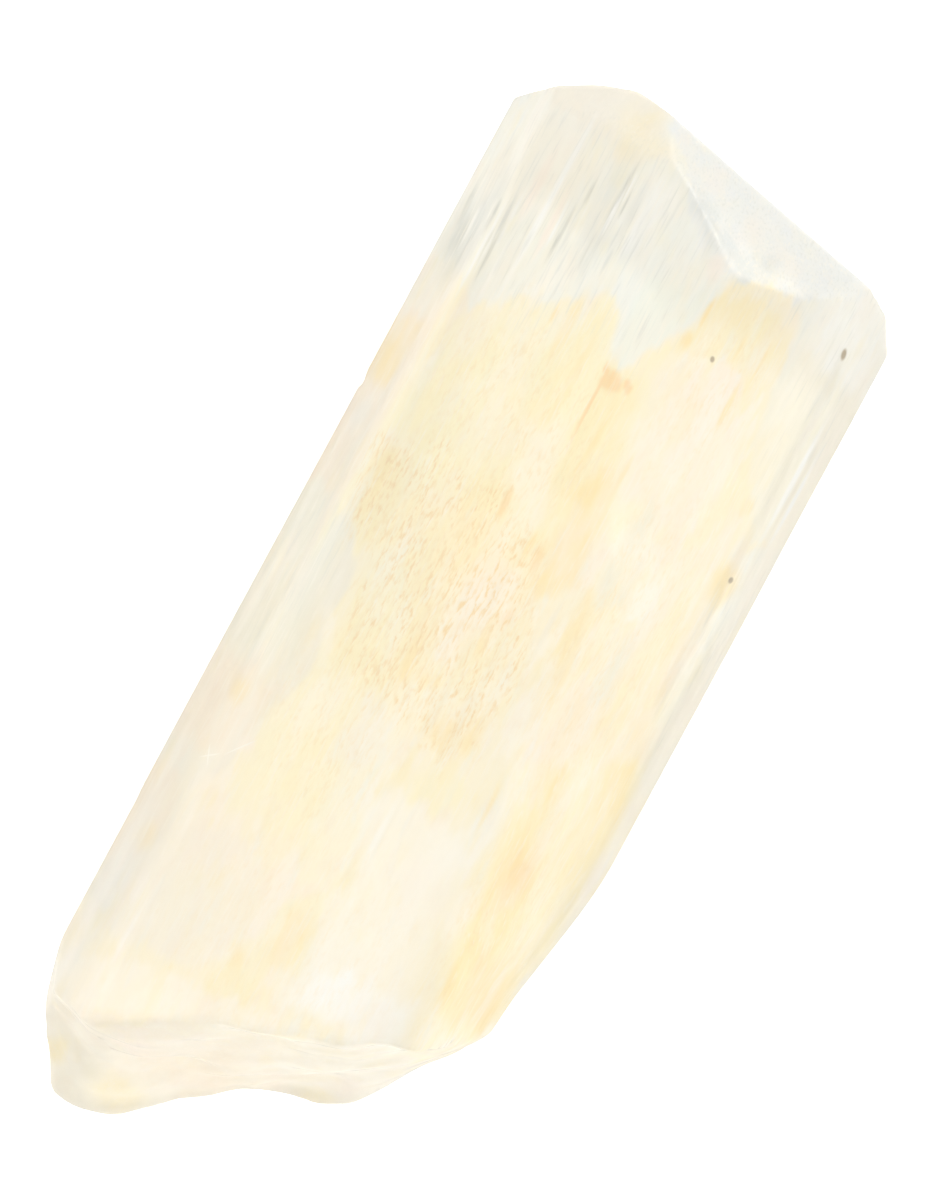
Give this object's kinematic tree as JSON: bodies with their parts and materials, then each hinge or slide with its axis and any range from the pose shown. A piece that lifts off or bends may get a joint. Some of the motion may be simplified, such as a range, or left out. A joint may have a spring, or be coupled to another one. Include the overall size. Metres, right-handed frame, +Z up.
{
  "type": "rough danburite crystal",
  "caption": "Rough, cloudy danburite crystal: a striated prism with a chisel-shaped pointed end and a broken end, lying on one flat prism face.",
  "frame": {"origin": "bottom centre of the crystal's box, on the flat prism face that it lies on", "axes": "+X along the crystal's long axis to its pointed end, +Z up, +Y to its left flank"},
  "size_m": [0.0424, 0.0166, 0.011],
  "materials": {
    "danburite": "satin, cloudy, stained cream to orange"
  },
  "bodies": {
    "root": {"danburite_crystal": "danburite"}
  },
  "joints": []
}
